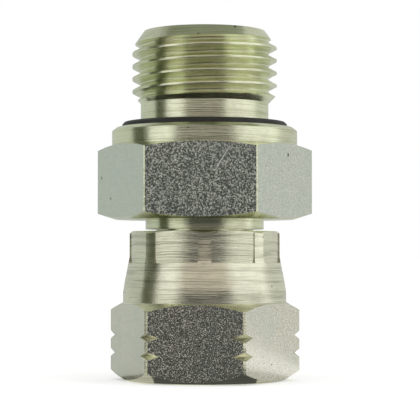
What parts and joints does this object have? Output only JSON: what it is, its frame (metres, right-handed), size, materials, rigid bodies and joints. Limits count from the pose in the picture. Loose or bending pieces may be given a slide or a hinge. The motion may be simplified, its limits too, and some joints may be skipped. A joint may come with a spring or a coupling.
{
  "type": "hydraulic adapter",
  "caption": "Straight steel hydraulic adapter: a parallel-thread stud with a captive seal ring, a hexagonal body, and a crimped swivel nut that turns on the tail.",
  "frame": {"origin": "on the axis, in the plane of the swivel nut's mouth face", "axes": "+Z along the axis from the nut's mouth towards the stud, with a flat of the body's hexagon facing -Y. In the rest pose the nut has turned 3.95 degrees clockwise from it, seen from above, as in the picture"},
  "size_m": [0.031, 0.027, 0.0503],
  "materials": {
    "plated_body": "zinc-plated and passivated, turned rings and drawn hexagon flats",
    "plated_nut": "zinc-plated and passivated, turned rings and drawn hexagon flats",
    "seal_rubber": "matt black elastomer"
  },
  "bodies": {
    "body": {"adapter_body": "plated_body", "stud_seal_ring": "seal_rubber"},
    "nut": {"swivel_nut": "plated_nut"}
  },
  "joints": [
    {"name": "nut_spin", "type": "hinge", "parent": "body", "child": "nut", "pos_m": [0, 0, 0], "axis": [0, 0, 1], "continuous": true}
  ]
}
